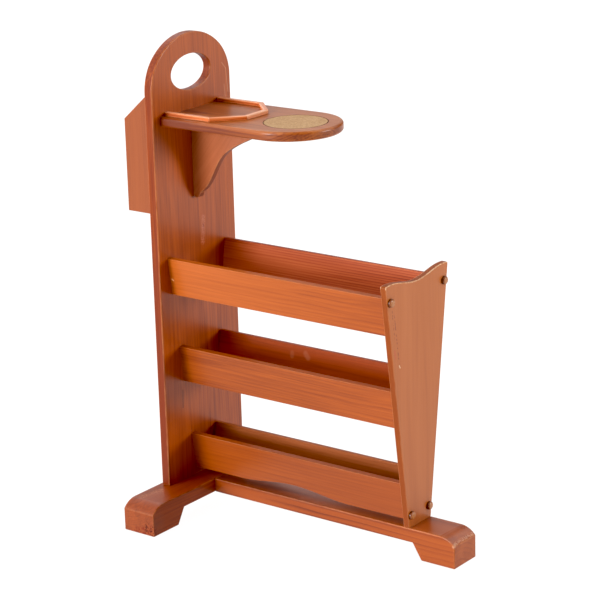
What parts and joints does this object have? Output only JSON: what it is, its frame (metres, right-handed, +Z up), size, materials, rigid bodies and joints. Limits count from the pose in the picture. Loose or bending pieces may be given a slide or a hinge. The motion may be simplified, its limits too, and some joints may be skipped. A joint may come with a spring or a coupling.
{
  "type": "magazine rack",
  "caption": "Stained pine magazine rack: a V-shaped slatted bin between an arched tall panel and a scalloped front panel on a T base, with a bracketed drinks shelf and a rear pocket.",
  "frame": {"origin": "on the floor, under the middle of the whole rack's box", "axes": "+X from the tall panel towards the front panel, +Y towards the far side, +Z up"},
  "size_m": [0.558, 0.363, 0.76],
  "materials": {
    "pine_panel": "orange-brown stain under satin varnish",
    "pine_slat": "orange-brown stain under satin varnish",
    "pine_base": "orange-brown stain under satin varnish",
    "pine_shelf": "orange-brown stain under satin varnish",
    "pine_rim": "orange-brown stain under satin varnish",
    "cork": "sanded granulated cork",
    "wood_button": "turned wood under satin varnish",
    "plated_steel": "zinc plated",
    "beech_dowel": "raw beech"
  },
  "bodies": {
    "root": {"tall_panel": "pine_panel", "front_panel": "pine_panel", "pocket_side_near": "pine_panel", "pocket_side_far": "pine_panel", "pocket_board": "pine_panel", "pocket_floor": "pine_panel", "bracket": "pine_panel", "slat_top_near": "pine_slat", "slat_top_far": "pine_slat", "slat_middle_near": "pine_slat", "slat_middle_far": "pine_slat", "slat_bottom_near": "pine_slat", "slat_bottom_far": "pine_slat", "crossbar": "pine_base", "long_bar": "pine_base", "shelf": "pine_shelf", "rim_near": "pine_rim", "rim_near_corner": "pine_rim", "rim_front": "pine_rim", "rim_far_corner": "pine_rim", "rim_far": "pine_rim", "cork_inlay": "cork", "front_buttons": "wood_button", "back_buttons": "wood_button", "front_slat_screws": "plated_steel", "back_slat_screws": "plated_steel", "tall_panel_screws": "plated_steel", "front_panel_screws": "plated_steel", "shelf_screws": "plated_steel", "bracket_screws": "plated_steel", "middle_slat_dowels": "beech_dowel", "bar_dowels": "beech_dowel", "pocket_dowels": "beech_dowel"}
  },
  "joints": []
}
